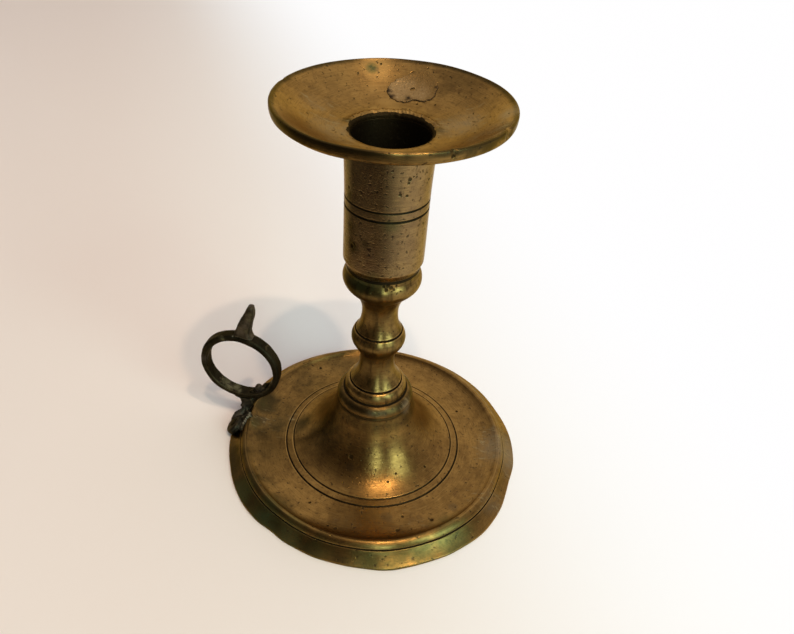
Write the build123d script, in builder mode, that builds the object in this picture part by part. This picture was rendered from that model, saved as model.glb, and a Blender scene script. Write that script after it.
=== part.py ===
# A brass chamberstick with a finger ring, in millimetres.
# It stands on Z = 0 with +Z up, and the ring stands beside the saucer on the -X side, in the XZ plane.
# X = 0 is the middle of the whole length, so the turning axis of the stick lies a little towards +X.
from build123d import *
import os
from math import atan2, cos, degrees, hypot, radians, sin, tan

# Saucer base: splayed skirt, crest, shallow dish and hollow cone with a rounded crown
foot_radius = 49.4
foot_edge_height = 0.8
skirt_width = 4.0
skirt_line_height = 3.8
skirt_hollow = 0.25
crest_step = 1.8
crest_rise = 1.9
crest_swell = 0.3
crest_land = 0.8
crest_drop = 0.25
# The dish's lowest ring lies at this share of the way from the outer line to the crest
dish_low_share = 0.48855
dish_low_height = 3.2
outer_scribe_radius = 29.7
outer_scribe_height = 3.55
inner_scribe_radius = 27.2
inner_scribe_height = 4.0
cone_waist_radius = 18.45
cone_waist_height = 9.8
crown_foot_radius = 12.3
crown_foot_height = 24.9
crown_swell = 0.85
crown_seat_radius = 10.0
base_height = 28.45
base_wall = 2.0
crown_thickness = 4.0
crown_inner_fillet = 1.2

# Turned lines, cut as shallow V grooves
scribe_width = 0.45
stem_line_width = 0.6

# Stem: members from the seat on the crown upwards, each height measured from the member below
collar_radius = 9.88
collar_band_height = 1.0
collar_shoulder_height = 2.7
collar_line_radius = 8.13
flare_land_height = 0.6
flare_rise = 8.05
neck_radius = 5.43
neck_cove_rise = 4.35
neck_top_radius = 6.15
lower_knop_foot_radius = 6.45
lower_knop_radius = 8.36
lower_knop_low_rise = 4.4
lower_knop_line_radius = 7.2
lower_knop_high_rise = 3.1
bell_rise = 6.9
waist_radius = 5.45
upper_cove_rise = 7.5
upper_cove_radius = 7.92
upper_knop_foot_radius = 8.27
upper_knop_radius = 11.5
upper_knop_low_rise = 5.0
upper_knop_high_rise = 2.65
stem_top_radius = 10.56
stem_neck_rise = 1.45

# Joint under the crown: tenon, washer and square nut
tenon_radius = 4.0
tenon_clearance = 0.1
tenon_end_chamfer = 0.6
washer_radius = 8.4
washer_thickness = 1.2
nut_width = 12.0
nut_thickness = 4.5
nut_corner_chamfer = 0.8
thread_clearance = 0.04
tenon_reach = 1.6

# Candle socket and the spigot that carries it
spigot_radius = 4.0
spigot_length = 5.0
spigot_clearance = 0.04
spigot_end_gap = 0.3
socket_foot_rise = 0.7
socket_chamfer_rise = 2.05
socket_wall = 1.1
socket_flare = 0.5
socket_low_line_height = 19.8
socket_line_spacing = 2.6
socket_line_step = 0.06
socket_height = 38.7
candle_bore_radius = 10.4
candle_bore_floor_thickness = 2.6

# Drip pan
pan_collar_depth = 1.4
pan_collar_wall = 1.15
pan_collar_clearance = 0.05
pan_collar_bead = 0.3
pan_collar_land = 1.1
pan_bore_height = 0.5
pan_lip_width = 1.1
pan_lip_rise = 0.8
pan_dish_radius = 21.0
pan_dish_rise = 2.4
pan_radius = 30.3
pan_height = 9.15
pan_rim_round = 0.5
pan_edge_height = 3.1
pan_edge_undercut = 0.8
pan_wall = 1.4

# Finger ring, thumb spur, and the foot that carries the ring on the skirt
ring_inset = 2.85
ring_rise = 5.97
ring_inner_radius = 11.73
ring_thickness = 2.2
ring_width = 4.3
ring_outer_round = 0.9
ring_inner_round = 0.4
braze_gap = 0.05
spur_root_width = 4.8
spur_root_thickness = 4.1
spur_root_shift = 2.0
spur_height = 12.4
spur_lean = 3.1
spur_tip_round = 0.5
# The spur's sections from root to tip, and the rounding of their corners
spur_rise_shares = (-0.12, 0.22, 0.53, 0.81, 1.0)
spur_lean_shares = (-0.05, 0.05, 0.5, 0.87, 1.0)
spur_width_shares = (1.55, 1.0, 0.87, 0.62, 0.36)
spur_thickness_shares = (1.05, 0.97, 0.86, 0.73, 0.6)
spur_round_share = 0.3
foot_seat_share = 0.4
strap_width = 5.8
strap_thickness = 1.6
lobe_turn = 8.9
lobe_radius = 3.7
lobe_thickness = 2.4
lobe_round = 0.9
foot_sink = 0.35
foot_seat_gap = 0.07
neck_saddle_outer_turn = 4.0
neck_saddle_inner_turn = 15.0
neck_width = 4.2
neck_waist = 5.6
neck_waist_step = 1.1
neck_waist_rise = 2.7
neck_foot_inset = 0.9
neck_foot_rise = 0.6

# Rivets through the foot's lobes and the skirt
rivet_radius = 1.0
rivet_clearance = 0.03
rivet_head_radius = 1.75
rivet_head_height = 0.9
rivet_tail_radius = 1.3
rivet_tail_height = 0.5
rivet_seat_gap = 0.05

# One overrun for every cut, and the angle of a V groove's sides
overrun = 1.0
groove_turn = 45.0

# Radii and levels of the base, then the ring's place from them
skirt_line_radius = foot_radius - skirt_width
crest_radius = skirt_line_radius - crest_step
crest_height = skirt_line_height + crest_rise
crest_inner_radius = crest_radius - crest_land
crest_inner_height = crest_height - crest_drop
dish_low_radius = outer_scribe_radius + dish_low_share * (crest_inner_radius - outer_scribe_radius)
ring_outer_radius = ring_inner_radius + ring_thickness
ring_distance = foot_radius - ring_inset
ring_height = crest_height + ring_rise + ring_outer_radius
neck_waist_radius = crest_radius + neck_waist_step
neck_waist_height = crest_height + neck_waist_rise
neck_foot_radius = foot_radius - neck_foot_inset
neck_foot_height = skirt_line_height + neck_foot_rise

# Radii of the socket and the pan's hub, from the candle's bore outwards
socket_low_radius = candle_bore_radius + socket_wall
socket_top_radius = socket_low_radius + socket_flare
pan_collar_radius = socket_top_radius + pan_collar_clearance + pan_collar_wall
pan_lip_radius = candle_bore_radius + pan_lip_width

# Levels from the crown upwards, and the turning axis
stick_x = (ring_distance + ring_outer_radius - foot_radius) / 2
crown_under = base_height - crown_thickness
tenon_end = crown_under - washer_thickness - nut_thickness - tenon_reach
collar_line_height = base_height + collar_band_height + collar_shoulder_height
flare_foot = collar_line_height + flare_land_height
neck_height = flare_foot + flare_rise
knop_foot = neck_height + neck_cove_rise
knop_height = knop_foot + lower_knop_low_rise
knop_line_height = knop_height + lower_knop_high_rise
waist_height = knop_line_height + bell_rise
upper_foot = waist_height + upper_cove_rise
upper_height = upper_foot + upper_knop_low_rise
upper_end = upper_height + upper_knop_high_rise
stem_top = upper_end + stem_neck_rise
socket_top = stem_top + socket_height
bore_floor = stem_top + spigot_length + spigot_end_gap + candle_bore_floor_thickness
pan_top = socket_top + pan_height
stick_plane = Plane(origin=(stick_x, 0, 0), x_dir=(1, 0, 0), z_dir=(0, -1, 0))
stick_axis = Axis((stick_x, 0, 0), (0, 0, 1))
skirt_rise = skirt_line_height - foot_edge_height
skirt_angle = atan2(skirt_rise, skirt_width)
foot_seat_radius = skirt_line_radius + foot_seat_share * skirt_width
foot_seat_height = skirt_line_height - foot_seat_share * skirt_rise


def skirt_plane(turn):
    """The plane that lies on the skirt where the ring's foot seats, turned round the stick."""
    out_x = -cos(radians(turn))
    out_y = -sin(radians(turn))
    seat = (stick_x + foot_seat_radius * out_x, foot_seat_radius * out_y, foot_seat_height)
    normal = (sin(skirt_angle) * out_x, sin(skirt_angle) * out_y, cos(skirt_angle))
    return Plane(origin=seat, x_dir=(-out_y, out_x, 0), z_dir=normal)


# Saucer base: the solid blank first, which also shapes the seat of the ring's foot
with BuildPart() as base_blank:
    with BuildSketch(stick_plane):
        with BuildLine():
            Polyline((0, base_height), (0, 0), (foot_radius, 0), (foot_radius, foot_edge_height))
            SagittaArc(
                (foot_radius, foot_edge_height),
                (skirt_line_radius, skirt_line_height),
                skirt_hollow,
            )
            SagittaArc(
                (skirt_line_radius, skirt_line_height),
                (crest_radius, crest_height),
                -crest_swell,
            )
            Line((crest_radius, crest_height), (crest_inner_radius, crest_inner_height))
            Spline(
                (crest_inner_radius, crest_inner_height),
                (dish_low_radius, dish_low_height),
                (outer_scribe_radius, outer_scribe_height),
                tangents=[(-1, -1), (-1, 0.2)],
            )
            Line((outer_scribe_radius, outer_scribe_height), (inner_scribe_radius, inner_scribe_height))
            Spline(
                (inner_scribe_radius, inner_scribe_height),
                (cone_waist_radius, cone_waist_height),
                (crown_foot_radius, crown_foot_height),
                tangents=[(-1, 0.3), (-0.2, 1)],
            )
            SagittaArc(
                (crown_foot_radius, crown_foot_height),
                (crown_seat_radius, base_height),
                -crown_swell,
            )
            Line((crown_seat_radius, base_height), (0, base_height))
        make_face()
    revolve(axis=stick_axis)

with BuildPart() as saucer_base:
    add(base_blank.part)
    # The hollow below follows the outside at the wall's thickness
    with BuildSketch(stick_plane):
        with BuildLine():
            cone_step = base_wall * sin(radians(groove_turn))
            skirt_in = skirt_line_radius - base_wall * sin(skirt_angle)
            skirt_under = skirt_line_height - base_wall * cos(skirt_angle)
            foot_in = skirt_in + skirt_under / tan(skirt_angle)
            crest_in = crest_inner_radius - base_wall / 4
            hollow_top_radius = crown_foot_radius - base_wall
            hollow_foot_radius = inner_scribe_radius - base_wall / 2
            Polyline(
                (0, crown_under),
                (0, -overrun),
                (foot_in, -overrun),
                (foot_in, 0),
                (skirt_in, skirt_under),
                (crest_in, crest_inner_height - base_wall),
            )
            Spline(
                (crest_in, crest_inner_height - base_wall),
                (dish_low_radius, dish_low_height - base_wall),
                (hollow_foot_radius, inner_scribe_height - base_wall),
                tangents=[(-1, -1), (-1, 0.3)],
            )
            Spline(
                (hollow_foot_radius, inner_scribe_height - base_wall),
                (cone_waist_radius - cone_step, cone_waist_height - cone_step),
                (hollow_top_radius, crown_under - crown_inner_fillet),
                tangents=[(-1, 0.3), (-0.2, 1)],
            )
            EllipticalCenterArc(
                (hollow_top_radius - crown_inner_fillet, crown_under - crown_inner_fillet),
                crown_inner_fillet,
                crown_inner_fillet,
                start_angle=0,
                arc_size=90,
            )
            Line((hollow_top_radius - crown_inner_fillet, crown_under), (0, crown_under))
        make_face()
    revolve(axis=stick_axis, mode=Mode.SUBTRACT)
    # Turned lines in the dish, round the skirt and under the crown
    with BuildSketch(stick_plane):
        with Locations(
            (outer_scribe_radius, outer_scribe_height),
            (inner_scribe_radius, inner_scribe_height),
            (skirt_line_radius, skirt_line_height),
            (crown_foot_radius, crown_foot_height),
        ):
            Rectangle(scribe_width, scribe_width, rotation=groove_turn)
    revolve(axis=stick_axis, mode=Mode.SUBTRACT)
    with Locations((stick_x, 0, base_height)):
        Hole(tenon_radius + tenon_clearance, crown_thickness + overrun)
    for turn in (-lobe_turn, lobe_turn):
        with Locations(skirt_plane(turn)):
            Hole(rivet_radius + rivet_clearance, base_wall + overrun)

# Stem: one turned baluster with a tenon below and a spigot above
with BuildPart() as stem:
    with BuildSketch(stick_plane):
        with BuildLine():
            Polyline(
                (0, stem_top + spigot_length),
                (0, tenon_end),
                (tenon_radius - tenon_end_chamfer, tenon_end),
                (tenon_radius, tenon_end + tenon_end_chamfer),
                (tenon_radius, base_height),
                (collar_radius, base_height),
                (collar_radius, base_height + collar_band_height),
            )
            EllipticalCenterArc(
                (collar_line_radius, base_height + collar_band_height),
                collar_radius - collar_line_radius,
                collar_shoulder_height,
                start_angle=0,
                arc_size=90,
            )
            Line((collar_line_radius, collar_line_height), (collar_line_radius, flare_foot))
            Spline(
                (collar_line_radius, flare_foot),
                (neck_radius, neck_height),
                tangents=[(-0.75, 1), (0, 1)],
            )
            Spline(
                (neck_radius, neck_height),
                (neck_top_radius, knop_foot),
                tangents=[(0, 1), (0.5, 1)],
            )
            Line((neck_top_radius, knop_foot), (lower_knop_foot_radius, knop_foot))
            Spline(
                (lower_knop_foot_radius, knop_foot),
                (lower_knop_radius, knop_height),
                (lower_knop_line_radius, knop_line_height),
                tangents=[(0.6, 1), (-0.8, 1)],
            )
            Spline(
                (lower_knop_line_radius, knop_line_height),
                (waist_radius, waist_height),
                tangents=[(-0.75, 1), (0, 1)],
            )
            Spline(
                (waist_radius, waist_height),
                (upper_cove_radius, upper_foot),
                tangents=[(0, 1), (0.5, 1)],
            )
            Line((upper_cove_radius, upper_foot), (upper_knop_foot_radius, upper_foot))
            Spline(
                (upper_knop_foot_radius, upper_foot),
                (upper_knop_radius, upper_height),
                (stem_top_radius, upper_end),
                tangents=[(1, 1), (-1, 1)],
            )
            Polyline(
                (stem_top_radius, upper_end),
                (stem_top_radius, stem_top),
                (spigot_radius, stem_top),
                (spigot_radius, stem_top + spigot_length),
                (0, stem_top + spigot_length),
            )
        make_face()
    revolve(axis=stick_axis)
    with BuildSketch(stick_plane):
        with Locations(
            (collar_line_radius, collar_line_height),
            (lower_knop_line_radius, knop_line_height),
        ):
            Rectangle(stem_line_width, stem_line_width, rotation=groove_turn)
    revolve(axis=stick_axis, mode=Mode.SUBTRACT)

# Washer and square nut that hold the tenon under the crown
with BuildPart() as stem_washer:
    with BuildSketch(Plane.XY.offset(crown_under - washer_thickness)):
        with Locations((stick_x, 0)):
            Circle(washer_radius)
            Circle(tenon_radius + tenon_clearance, mode=Mode.SUBTRACT)
    extrude(amount=washer_thickness)

with BuildPart() as stem_nut:
    nut_top = crown_under - washer_thickness
    with BuildSketch(Plane.XY.offset(nut_top - nut_thickness)):
        with Locations((stick_x, 0)):
            Rectangle(nut_width, nut_width)
            Circle(tenon_radius + thread_clearance, mode=Mode.SUBTRACT)
    extrude(amount=nut_thickness)
    # The lower corners are turned off, as on a forged nut
    corner_radius = hypot(nut_width, nut_width) / 2
    with BuildSketch(stick_plane):
        with Locations((corner_radius, nut_top - nut_thickness)):
            Rectangle(2 * nut_corner_chamfer, 2 * nut_corner_chamfer, rotation=groove_turn)
    revolve(axis=stick_axis, mode=Mode.SUBTRACT)

# Candle socket: a turned cup on the stem's spigot, with two lines round it
with BuildPart() as candle_socket:
    with BuildSketch(stick_plane):
        with BuildLine():
            chamfer_foot = stem_top + socket_foot_rise
            wall_foot = chamfer_foot + socket_chamfer_rise
            line_height = stem_top + socket_low_line_height
            hole_top = stem_top + spigot_length + spigot_end_gap
            Polyline(
                (0, hole_top),
                (spigot_radius + spigot_clearance, hole_top),
                (spigot_radius + spigot_clearance, stem_top),
                (stem_top_radius, stem_top),
                (stem_top_radius, chamfer_foot),
                (socket_low_radius, wall_foot),
                (socket_low_radius, line_height),
            )
            Spline(
                (socket_low_radius, line_height),
                (socket_top_radius, socket_top),
                tangents=[(0, 1), (0.02, 1)],
            )
            Polyline(
                (socket_top_radius, socket_top),
                (candle_bore_radius, socket_top),
                (candle_bore_radius, bore_floor),
                (0, bore_floor),
                (0, hole_top),
            )
        make_face()
    revolve(axis=stick_axis)
    with BuildSketch(stick_plane):
        with Locations(
            (socket_low_radius, line_height),
            (socket_low_radius + socket_line_step, line_height + socket_line_spacing),
        ):
            Rectangle(scribe_width, scribe_width, rotation=groove_turn)
    revolve(axis=stick_axis, mode=Mode.SUBTRACT)

# Drip pan: a dished pan whose collar fits over the socket's mouth
with BuildPart() as drip_pan:
    with BuildSketch(stick_plane):
        with BuildLine():
            collar_foot = socket_top - pan_collar_depth
            collar_inside = socket_top_radius + pan_collar_clearance
            lip_foot = socket_top + pan_bore_height
            lip_height = lip_foot + pan_lip_rise
            rim_x = pan_radius - pan_rim_round
            rim_z = pan_top - pan_rim_round
            rim_step = pan_rim_round * sin(radians(groove_turn))
            under_x = pan_radius - pan_edge_undercut
            under_z = pan_top - pan_edge_height
            Polyline(
                (pan_collar_radius, collar_foot + pan_collar_land),
                (pan_collar_radius, collar_foot + pan_collar_bead),
                (pan_collar_radius - pan_collar_bead, collar_foot),
                (collar_inside, collar_foot),
                (collar_inside, socket_top),
                (candle_bore_radius, socket_top),
                (candle_bore_radius, lip_foot),
            )
            EllipticalCenterArc(
                (pan_lip_radius, lip_foot),
                pan_lip_radius - candle_bore_radius,
                pan_lip_rise,
                start_angle=90,
                arc_size=90,
            )
            Spline(
                (pan_lip_radius, lip_height),
                (pan_dish_radius, lip_height + pan_dish_rise),
                (rim_x - rim_step, rim_z + rim_step),
                tangents=[(1, 0.05), (1, 0.6)],
            )
            CenterArc((rim_x, rim_z), pan_rim_round, 90 + groove_turn, -90 - groove_turn)
            Spline((pan_radius, rim_z), (under_x, under_z), tangents=[(0, -1), (-1, -0.45)])
            Spline(
                (under_x, under_z),
                (pan_dish_radius, lip_height + pan_dish_rise - pan_wall),
                (pan_collar_radius, collar_foot + pan_collar_land),
                tangents=[(-1, -0.45), (-0.6, -1)],
            )
        make_face()
    revolve(axis=stick_axis)

# Finger ring: a flat band with rounded edges
with BuildPart() as finger_ring:
    with BuildSketch(Plane.XY.offset(ring_height)):
        with Locations((stick_x - ring_distance + ring_inner_radius + ring_thickness / 2, 0)):
            band = Rectangle(ring_thickness, ring_width)
        fillet(band.vertices().group_by(Axis.X)[-1], ring_outer_round)
        fillet(band.vertices().group_by(Axis.X)[0], ring_inner_round)
    revolve(axis=Axis((stick_x - ring_distance, 0, ring_height), (0, 1, 0)))

# The room that the ring's band and its brazing take from the pieces joined to it
with BuildPart() as ring_room:
    with BuildSketch(Plane.XZ):
        with Locations((stick_x - ring_distance, ring_height)):
            Circle(ring_outer_radius + braze_gap)
    extrude(amount=ring_width, both=True)

# Thumb spur: a tapered horn that leans towards the stick
with BuildPart() as thumb_spur:
    spur_x = stick_x - ring_distance + spur_root_shift
    spur_root = ring_height + ring_outer_radius
    spur_form = zip(spur_rise_shares, spur_lean_shares, spur_width_shares, spur_thickness_shares)
    for rise_share, lean_share, width_share, thickness_share in spur_form:
        with BuildSketch(Plane.XY.offset(spur_root + rise_share * spur_height)):
            with Locations((spur_x + lean_share * spur_lean, 0)):
                spur_width = width_share * spur_root_width
                spur_thickness = thickness_share * spur_root_thickness
                spur_round = spur_round_share * min(spur_width, spur_thickness)
                RectangleRounded(spur_width, spur_thickness, spur_round)
    loft()
    fillet(thumb_spur.faces().sort_by(Axis.Z)[-1].edges(), spur_tip_round)
    add(ring_room.part, mode=Mode.SUBTRACT)

# Foot of the ring: a neck over the crest, and a strap with two riveted lobes down the skirt
with BuildPart() as lobe_blank:
    with BuildSketch(Plane.XY.offset(-foot_sink)):
        Circle(lobe_radius)
    extrude(amount=foot_sink + lobe_thickness)
    fillet(lobe_blank.edges().sort_by(Axis.Z)[-1], lobe_round)

with BuildPart() as ring_foot:
    saddle_outer = -ring_distance - ring_outer_radius * sin(radians(neck_saddle_outer_turn))
    saddle_inner = -ring_distance + ring_outer_radius * sin(radians(neck_saddle_inner_turn))
    saddle_low = ring_height - ring_outer_radius * cos(radians(neck_saddle_outer_turn))
    saddle_high = ring_height - ring_outer_radius * cos(radians(neck_saddle_inner_turn))
    saddle_top = saddle_high + ring_thickness
    neck_outer = neck_waist_radius + neck_waist / 2
    neck_inner = neck_waist_radius - neck_waist / 2
    with BuildSketch(stick_plane):
        with BuildLine():
            Polyline(
                (saddle_inner, saddle_high),
                (saddle_inner, saddle_top),
                (saddle_outer, saddle_top),
                (saddle_outer, saddle_low),
            )
            Spline(
                (saddle_outer, saddle_low),
                (-neck_outer, neck_waist_height),
                (-neck_foot_radius, neck_foot_height),
                tangents=[(0.3, -1), (-0.7, -1)],
            )
            Polyline(
                (-neck_foot_radius, neck_foot_height),
                (-neck_foot_radius, skirt_under),
                (-neck_inner, skirt_under),
                (-neck_inner, neck_waist_height),
            )
            Spline(
                (-neck_inner, neck_waist_height),
                (saddle_inner, saddle_high),
                tangents=[(0, 1), (0.5, 1)],
            )
        make_face()
    extrude(amount=neck_width / 2, both=True)
    strap_start = Plane(
        origin=(stick_x, 0, 0),
        x_dir=(cos(radians(lobe_turn)), -sin(radians(lobe_turn)), 0),
        z_dir=(-sin(radians(lobe_turn)), -cos(radians(lobe_turn)), 0),
    )
    with BuildSketch(strap_start):
        with Locations(Location((-foot_seat_radius, foot_seat_height), degrees(skirt_angle))):
            with Locations((0, (strap_thickness - foot_sink) / 2)):
                Rectangle(strap_width, strap_thickness + foot_sink)
    revolve(axis=stick_axis, revolution_arc=2 * lobe_turn)
    with Locations(skirt_plane(-lobe_turn), skirt_plane(lobe_turn)):
        add(lobe_blank.part)
    add(ring_room.part, mode=Mode.SUBTRACT)
    with Locations((0, 0, foot_seat_gap)):
        add(base_blank.part, mode=Mode.SUBTRACT)
    with Locations(skirt_plane(-lobe_turn), skirt_plane(lobe_turn)):
        Hole(rivet_radius + rivet_clearance)

# Two rivets, headed on the lobes and hammered over inside the skirt
with BuildPart() as rivet_blank:
    with BuildSketch(Plane.XZ):
        with BuildLine():
            tail_seat = -base_wall - rivet_seat_gap
            tail_end = tail_seat - rivet_tail_height
            Polyline(
                (0, lobe_thickness + rivet_head_height),
                (0, tail_end),
                (rivet_tail_radius - rivet_tail_height, tail_end),
                (rivet_tail_radius, tail_seat),
                (rivet_radius, tail_seat),
                (rivet_radius, lobe_thickness),
                (rivet_head_radius, lobe_thickness),
            )
            Spline(
                (rivet_head_radius, lobe_thickness),
                (0, lobe_thickness + rivet_head_height),
                tangents=[(0, 1), (-1, 0)],
            )
        make_face()
    revolve(axis=Axis.Z)

with BuildPart() as ring_rivets:
    with Locations(skirt_plane(-lobe_turn), skirt_plane(lobe_turn)):
        add(rivet_blank.part)

os.makedirs("parts", exist_ok=True)
pieces = {
    "saucer_base": saucer_base,
    "stem": stem,
    "stem_washer": stem_washer,
    "stem_nut": stem_nut,
    "candle_socket": candle_socket,
    "drip_pan": drip_pan,
    "finger_ring": finger_ring,
    "thumb_spur": thumb_spur,
    "ring_foot": ring_foot,
    "ring_rivets": ring_rivets,
}
for name, piece in pieces.items():
    piece.part.label = name
    export_step(piece.part, f"parts/{name}.step")
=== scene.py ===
# %% [markdown]
# # An old brass chamberstick with a finger ring
# The CAD model gives every piece its place and size. This file dresses it: each turned piece gets
# a finer skin with the dents and the wear of an old stick, each cast piece gets its lumps, and every
# surface gets a patina that is mixed from nodes.

from math import ceil, cos, pi, radians, sin

import bmesh
import bpy
import numpy as np
from mathutils import Matrix, Vector, noise


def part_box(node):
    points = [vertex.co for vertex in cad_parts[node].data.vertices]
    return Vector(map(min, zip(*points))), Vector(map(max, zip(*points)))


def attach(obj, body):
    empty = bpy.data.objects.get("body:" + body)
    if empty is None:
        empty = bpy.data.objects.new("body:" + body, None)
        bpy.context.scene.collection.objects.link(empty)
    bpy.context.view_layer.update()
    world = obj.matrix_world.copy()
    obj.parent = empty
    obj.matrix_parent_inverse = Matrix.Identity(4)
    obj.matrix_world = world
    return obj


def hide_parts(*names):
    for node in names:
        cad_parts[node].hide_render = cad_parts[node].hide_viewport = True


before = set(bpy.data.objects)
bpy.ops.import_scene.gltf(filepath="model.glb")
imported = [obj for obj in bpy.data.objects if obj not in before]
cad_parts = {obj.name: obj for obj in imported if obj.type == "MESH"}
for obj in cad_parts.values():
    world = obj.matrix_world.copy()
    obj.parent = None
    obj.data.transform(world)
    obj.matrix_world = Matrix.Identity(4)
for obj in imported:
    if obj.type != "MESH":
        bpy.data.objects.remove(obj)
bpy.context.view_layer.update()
MM = 0.001
stem_low, stem_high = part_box("stem")
STICK_X = (stem_low.x + stem_high.x) / 2
print("turning axis at x =", round(STICK_X / MM, 2), "mm")

# %% [markdown]
# ## The camera
# A camera could be placed by eye. Here its place, its turn and its lens were worked out from the
# object's own turned circles, so it is written down as numbers. The lens is shifted a little,
# because the photograph's middle isn't on the lens's axis.

# %% Set the camera
CAMERA_AT = Vector((35.05, -164.48, 187.92)) * MM
yaw, pitch, roll = -0.20224, 0.66799, -0.04779
ahead = Vector((sin(yaw) * cos(pitch), cos(yaw) * cos(pitch), -sin(pitch)))
level = Vector((cos(yaw), -sin(yaw), 0))
under = ahead.cross(level)
across = cos(roll) * level + sin(roll) * under
below = cos(roll) * under - sin(roll) * level


def add_object(name, data):
    """Make an object and put it into the scene."""
    made = bpy.data.objects.new(name, data)
    bpy.context.scene.collection.objects.link(made)
    return made


lens = bpy.data.cameras.new("camera")
lens.sensor_width = 36
lens.lens = 31.893
lens.shift_x = 0.03914
lens.shift_y = 0.00041
lens.clip_start = 0.01
camera = add_object("camera", lens)
turned = Matrix((across, -below, -ahead)).transposed().to_4x4()
camera.matrix_world = Matrix.Translation(CAMERA_AT) @ turned
bpy.context.scene.camera = camera
bpy.context.scene.view_settings.view_transform = "Standard"
print("camera looks down at", round(pitch * 180 / pi, 1), "degrees")

# %% [markdown]
# ## A bench for mixing finishes
# Nodes can be wired by hand, which takes five lines for one sum. A small class that wraps a socket
# lets a mask be written as a sum in Python, and one function makes every other node.

# %% Wires and nodes
def plug(tree, socket, value):
    """Give a socket a wire or a constant."""
    if isinstance(value, Wire):
        tree.links.new(value.socket, socket)
    else:
        socket.default_value = value


def add_node(tree, kind, settings=None, plugs=None, out=0):
    """Make a node, set it, plug values or wires into its sockets, and give back one output."""
    node = tree.nodes.new(kind)
    for name, value in (settings or {}).items():
        setattr(node, name, value)
    for name, value in (plugs or {}).items():
        plug(tree, node.inputs[name], value)
    return Wire(tree, node.outputs[out])


class Wire:
    """A value in a material's tree. Python's operators on it add Math nodes."""

    def __init__(self, tree, socket):
        self.tree = tree
        self.socket = socket

    def maths(self, operation, first, second):
        plugs = {0: first, 1: second}
        return add_node(self.tree, "ShaderNodeMath", {"operation": operation}, plugs)

    def __add__(self, other):
        return self.maths("ADD", self, other)

    def __sub__(self, other):
        return self.maths("SUBTRACT", self, other)

    def __rsub__(self, other):
        return self.maths("SUBTRACT", other, self)

    def __mul__(self, other):
        return self.maths("MULTIPLY", self, other)

    def __truediv__(self, other):
        return self.maths("DIVIDE", self, other)

    __radd__ = __add__
    __rmul__ = __mul__

    def either(self, other):
        """The larger of two values."""
        return self.maths("MAXIMUM", self, other)

    def between(self, low, high):
        """0 below low, 1 above high, with a soft step. low may be the larger one."""
        settings = {"interpolation_type": "SMOOTHSTEP"}
        return add_node(self.tree, "ShaderNodeMapRange", settings, {0: self, 1: low, 2: high})

    def axes(self):
        """The x, y and z of a vector."""
        split = add_node(self.tree, "ShaderNodeSeparateXYZ", None, {0: self})
        return [Wire(self.tree, socket) for socket in split.socket.node.outputs]


# %% [markdown]
# ## A finish
# A finish holds one material while it is mixed: its place on the object, its noises, its spots, and
# at the end the shader that takes them.

# %% The finish class
class Finish:
    """One material while it is mixed."""

    def __init__(self, name):
        self.material = bpy.data.materials.new(name)
        self.material.use_nodes = True
        self.tree = self.material.node_tree
        self.shader = next(n for n in self.tree.nodes if n.type == "BSDF_PRINCIPLED")
        self.place = self.node("ShaderNodeTexCoord", out="Object")

    def node(self, kind, settings=None, plugs=None, out=0):
        return add_node(self.tree, kind, settings, plugs, out)

    def set(self, name, value):
        """Give one socket of the shader a wire or a constant."""
        plug(self.tree, self.shader.inputs[name], value)

    def painted(self, name):
        """A value that was stored on the mesh, point by point."""
        return self.node("ShaderNodeAttribute", {"attribute_name": name}, out="Fac")

    def noise(self, size, detail=3.0, rough=0.55, where=None, warp=0.0):
        """Noise whose lumps are about size millimetres wide, from 0 to 1."""
        plugs = {"Vector": where or self.place, "Scale": 1 / (size * MM), "Detail": detail}
        plugs.update({"Roughness": rough, "Distortion": warp})
        return self.node("ShaderNodeTexNoise", None, plugs)

    def mix(self, share, first, second):
        """A colour that goes from first to second."""
        plugs = {0: share}
        for key, colour in ((6, first), (7, second)):
            plugs[key] = colour if isinstance(colour, Wire) else (*colour, 1)
        return self.node("ShaderNodeMix", {"data_type": "RGBA"}, plugs, out=2)

    def coats(self, colour, *layers):
        """Lay coats over a colour, one after the other. Each is a share and its own colour."""
        for share, coat in layers:
            colour = self.mix(share, colour, coat)
        return colour

    def round_places(self, places, rag, outer, inner):
        """1 within a share inner of each place (x, y, z, radius), 0 beyond a share outer of it."""
        found = None
        for x, y, z, radius in places:
            plugs = {0: self.place, 1: (x * MM, y * MM, z * MM)}
            away = self.node("ShaderNodeVectorMath", {"operation": "DISTANCE"}, plugs, out="Value")
            share = (away / (radius * MM) + rag).between(outer, inner)
            found = found.either(share) if found else share
        return found

    def spots(self, places, ragged=0.35):
        """Round spots with ragged edges, at places (x, y, z, radius) in millimetres."""
        return self.round_places(places, (self.noise(0.7) - 0.5) * ragged, 1.0, 0.55)

    def patches(self, places):
        """Soft, torn patches, at places (x, y, z, radius) in millimetres."""
        return self.round_places(places, (self.noise(1.1, 4, 0.65) - 0.5) * 2.2, 1.3, 0.0)

    def close(self, colour, roughness, metallic, height=None, depth=0.05):
        """Plug the mixed values into the shader. depth is the relief in millimetres."""
        self.set("Base Color", colour)
        self.set("Roughness", roughness)
        self.set("Metallic", metallic)
        if height:
            plugs = {"Distance": depth * MM, "Height": height}
            self.set("Normal", self.node("ShaderNodeBump", None, plugs, out="Normal"))
        print("finish", self.material.name, "has", len(self.tree.nodes), "nodes")
        return self.material


# %% [markdown]
# ## Reading a turned outline
# Every turned piece is a line spun round the stick's axis. The line could be typed in again, but it
# is already there: the CAD mesh has an edge for it in the half plane through +X. Reading it there
# keeps the dressed piece on the CAD piece.

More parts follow.
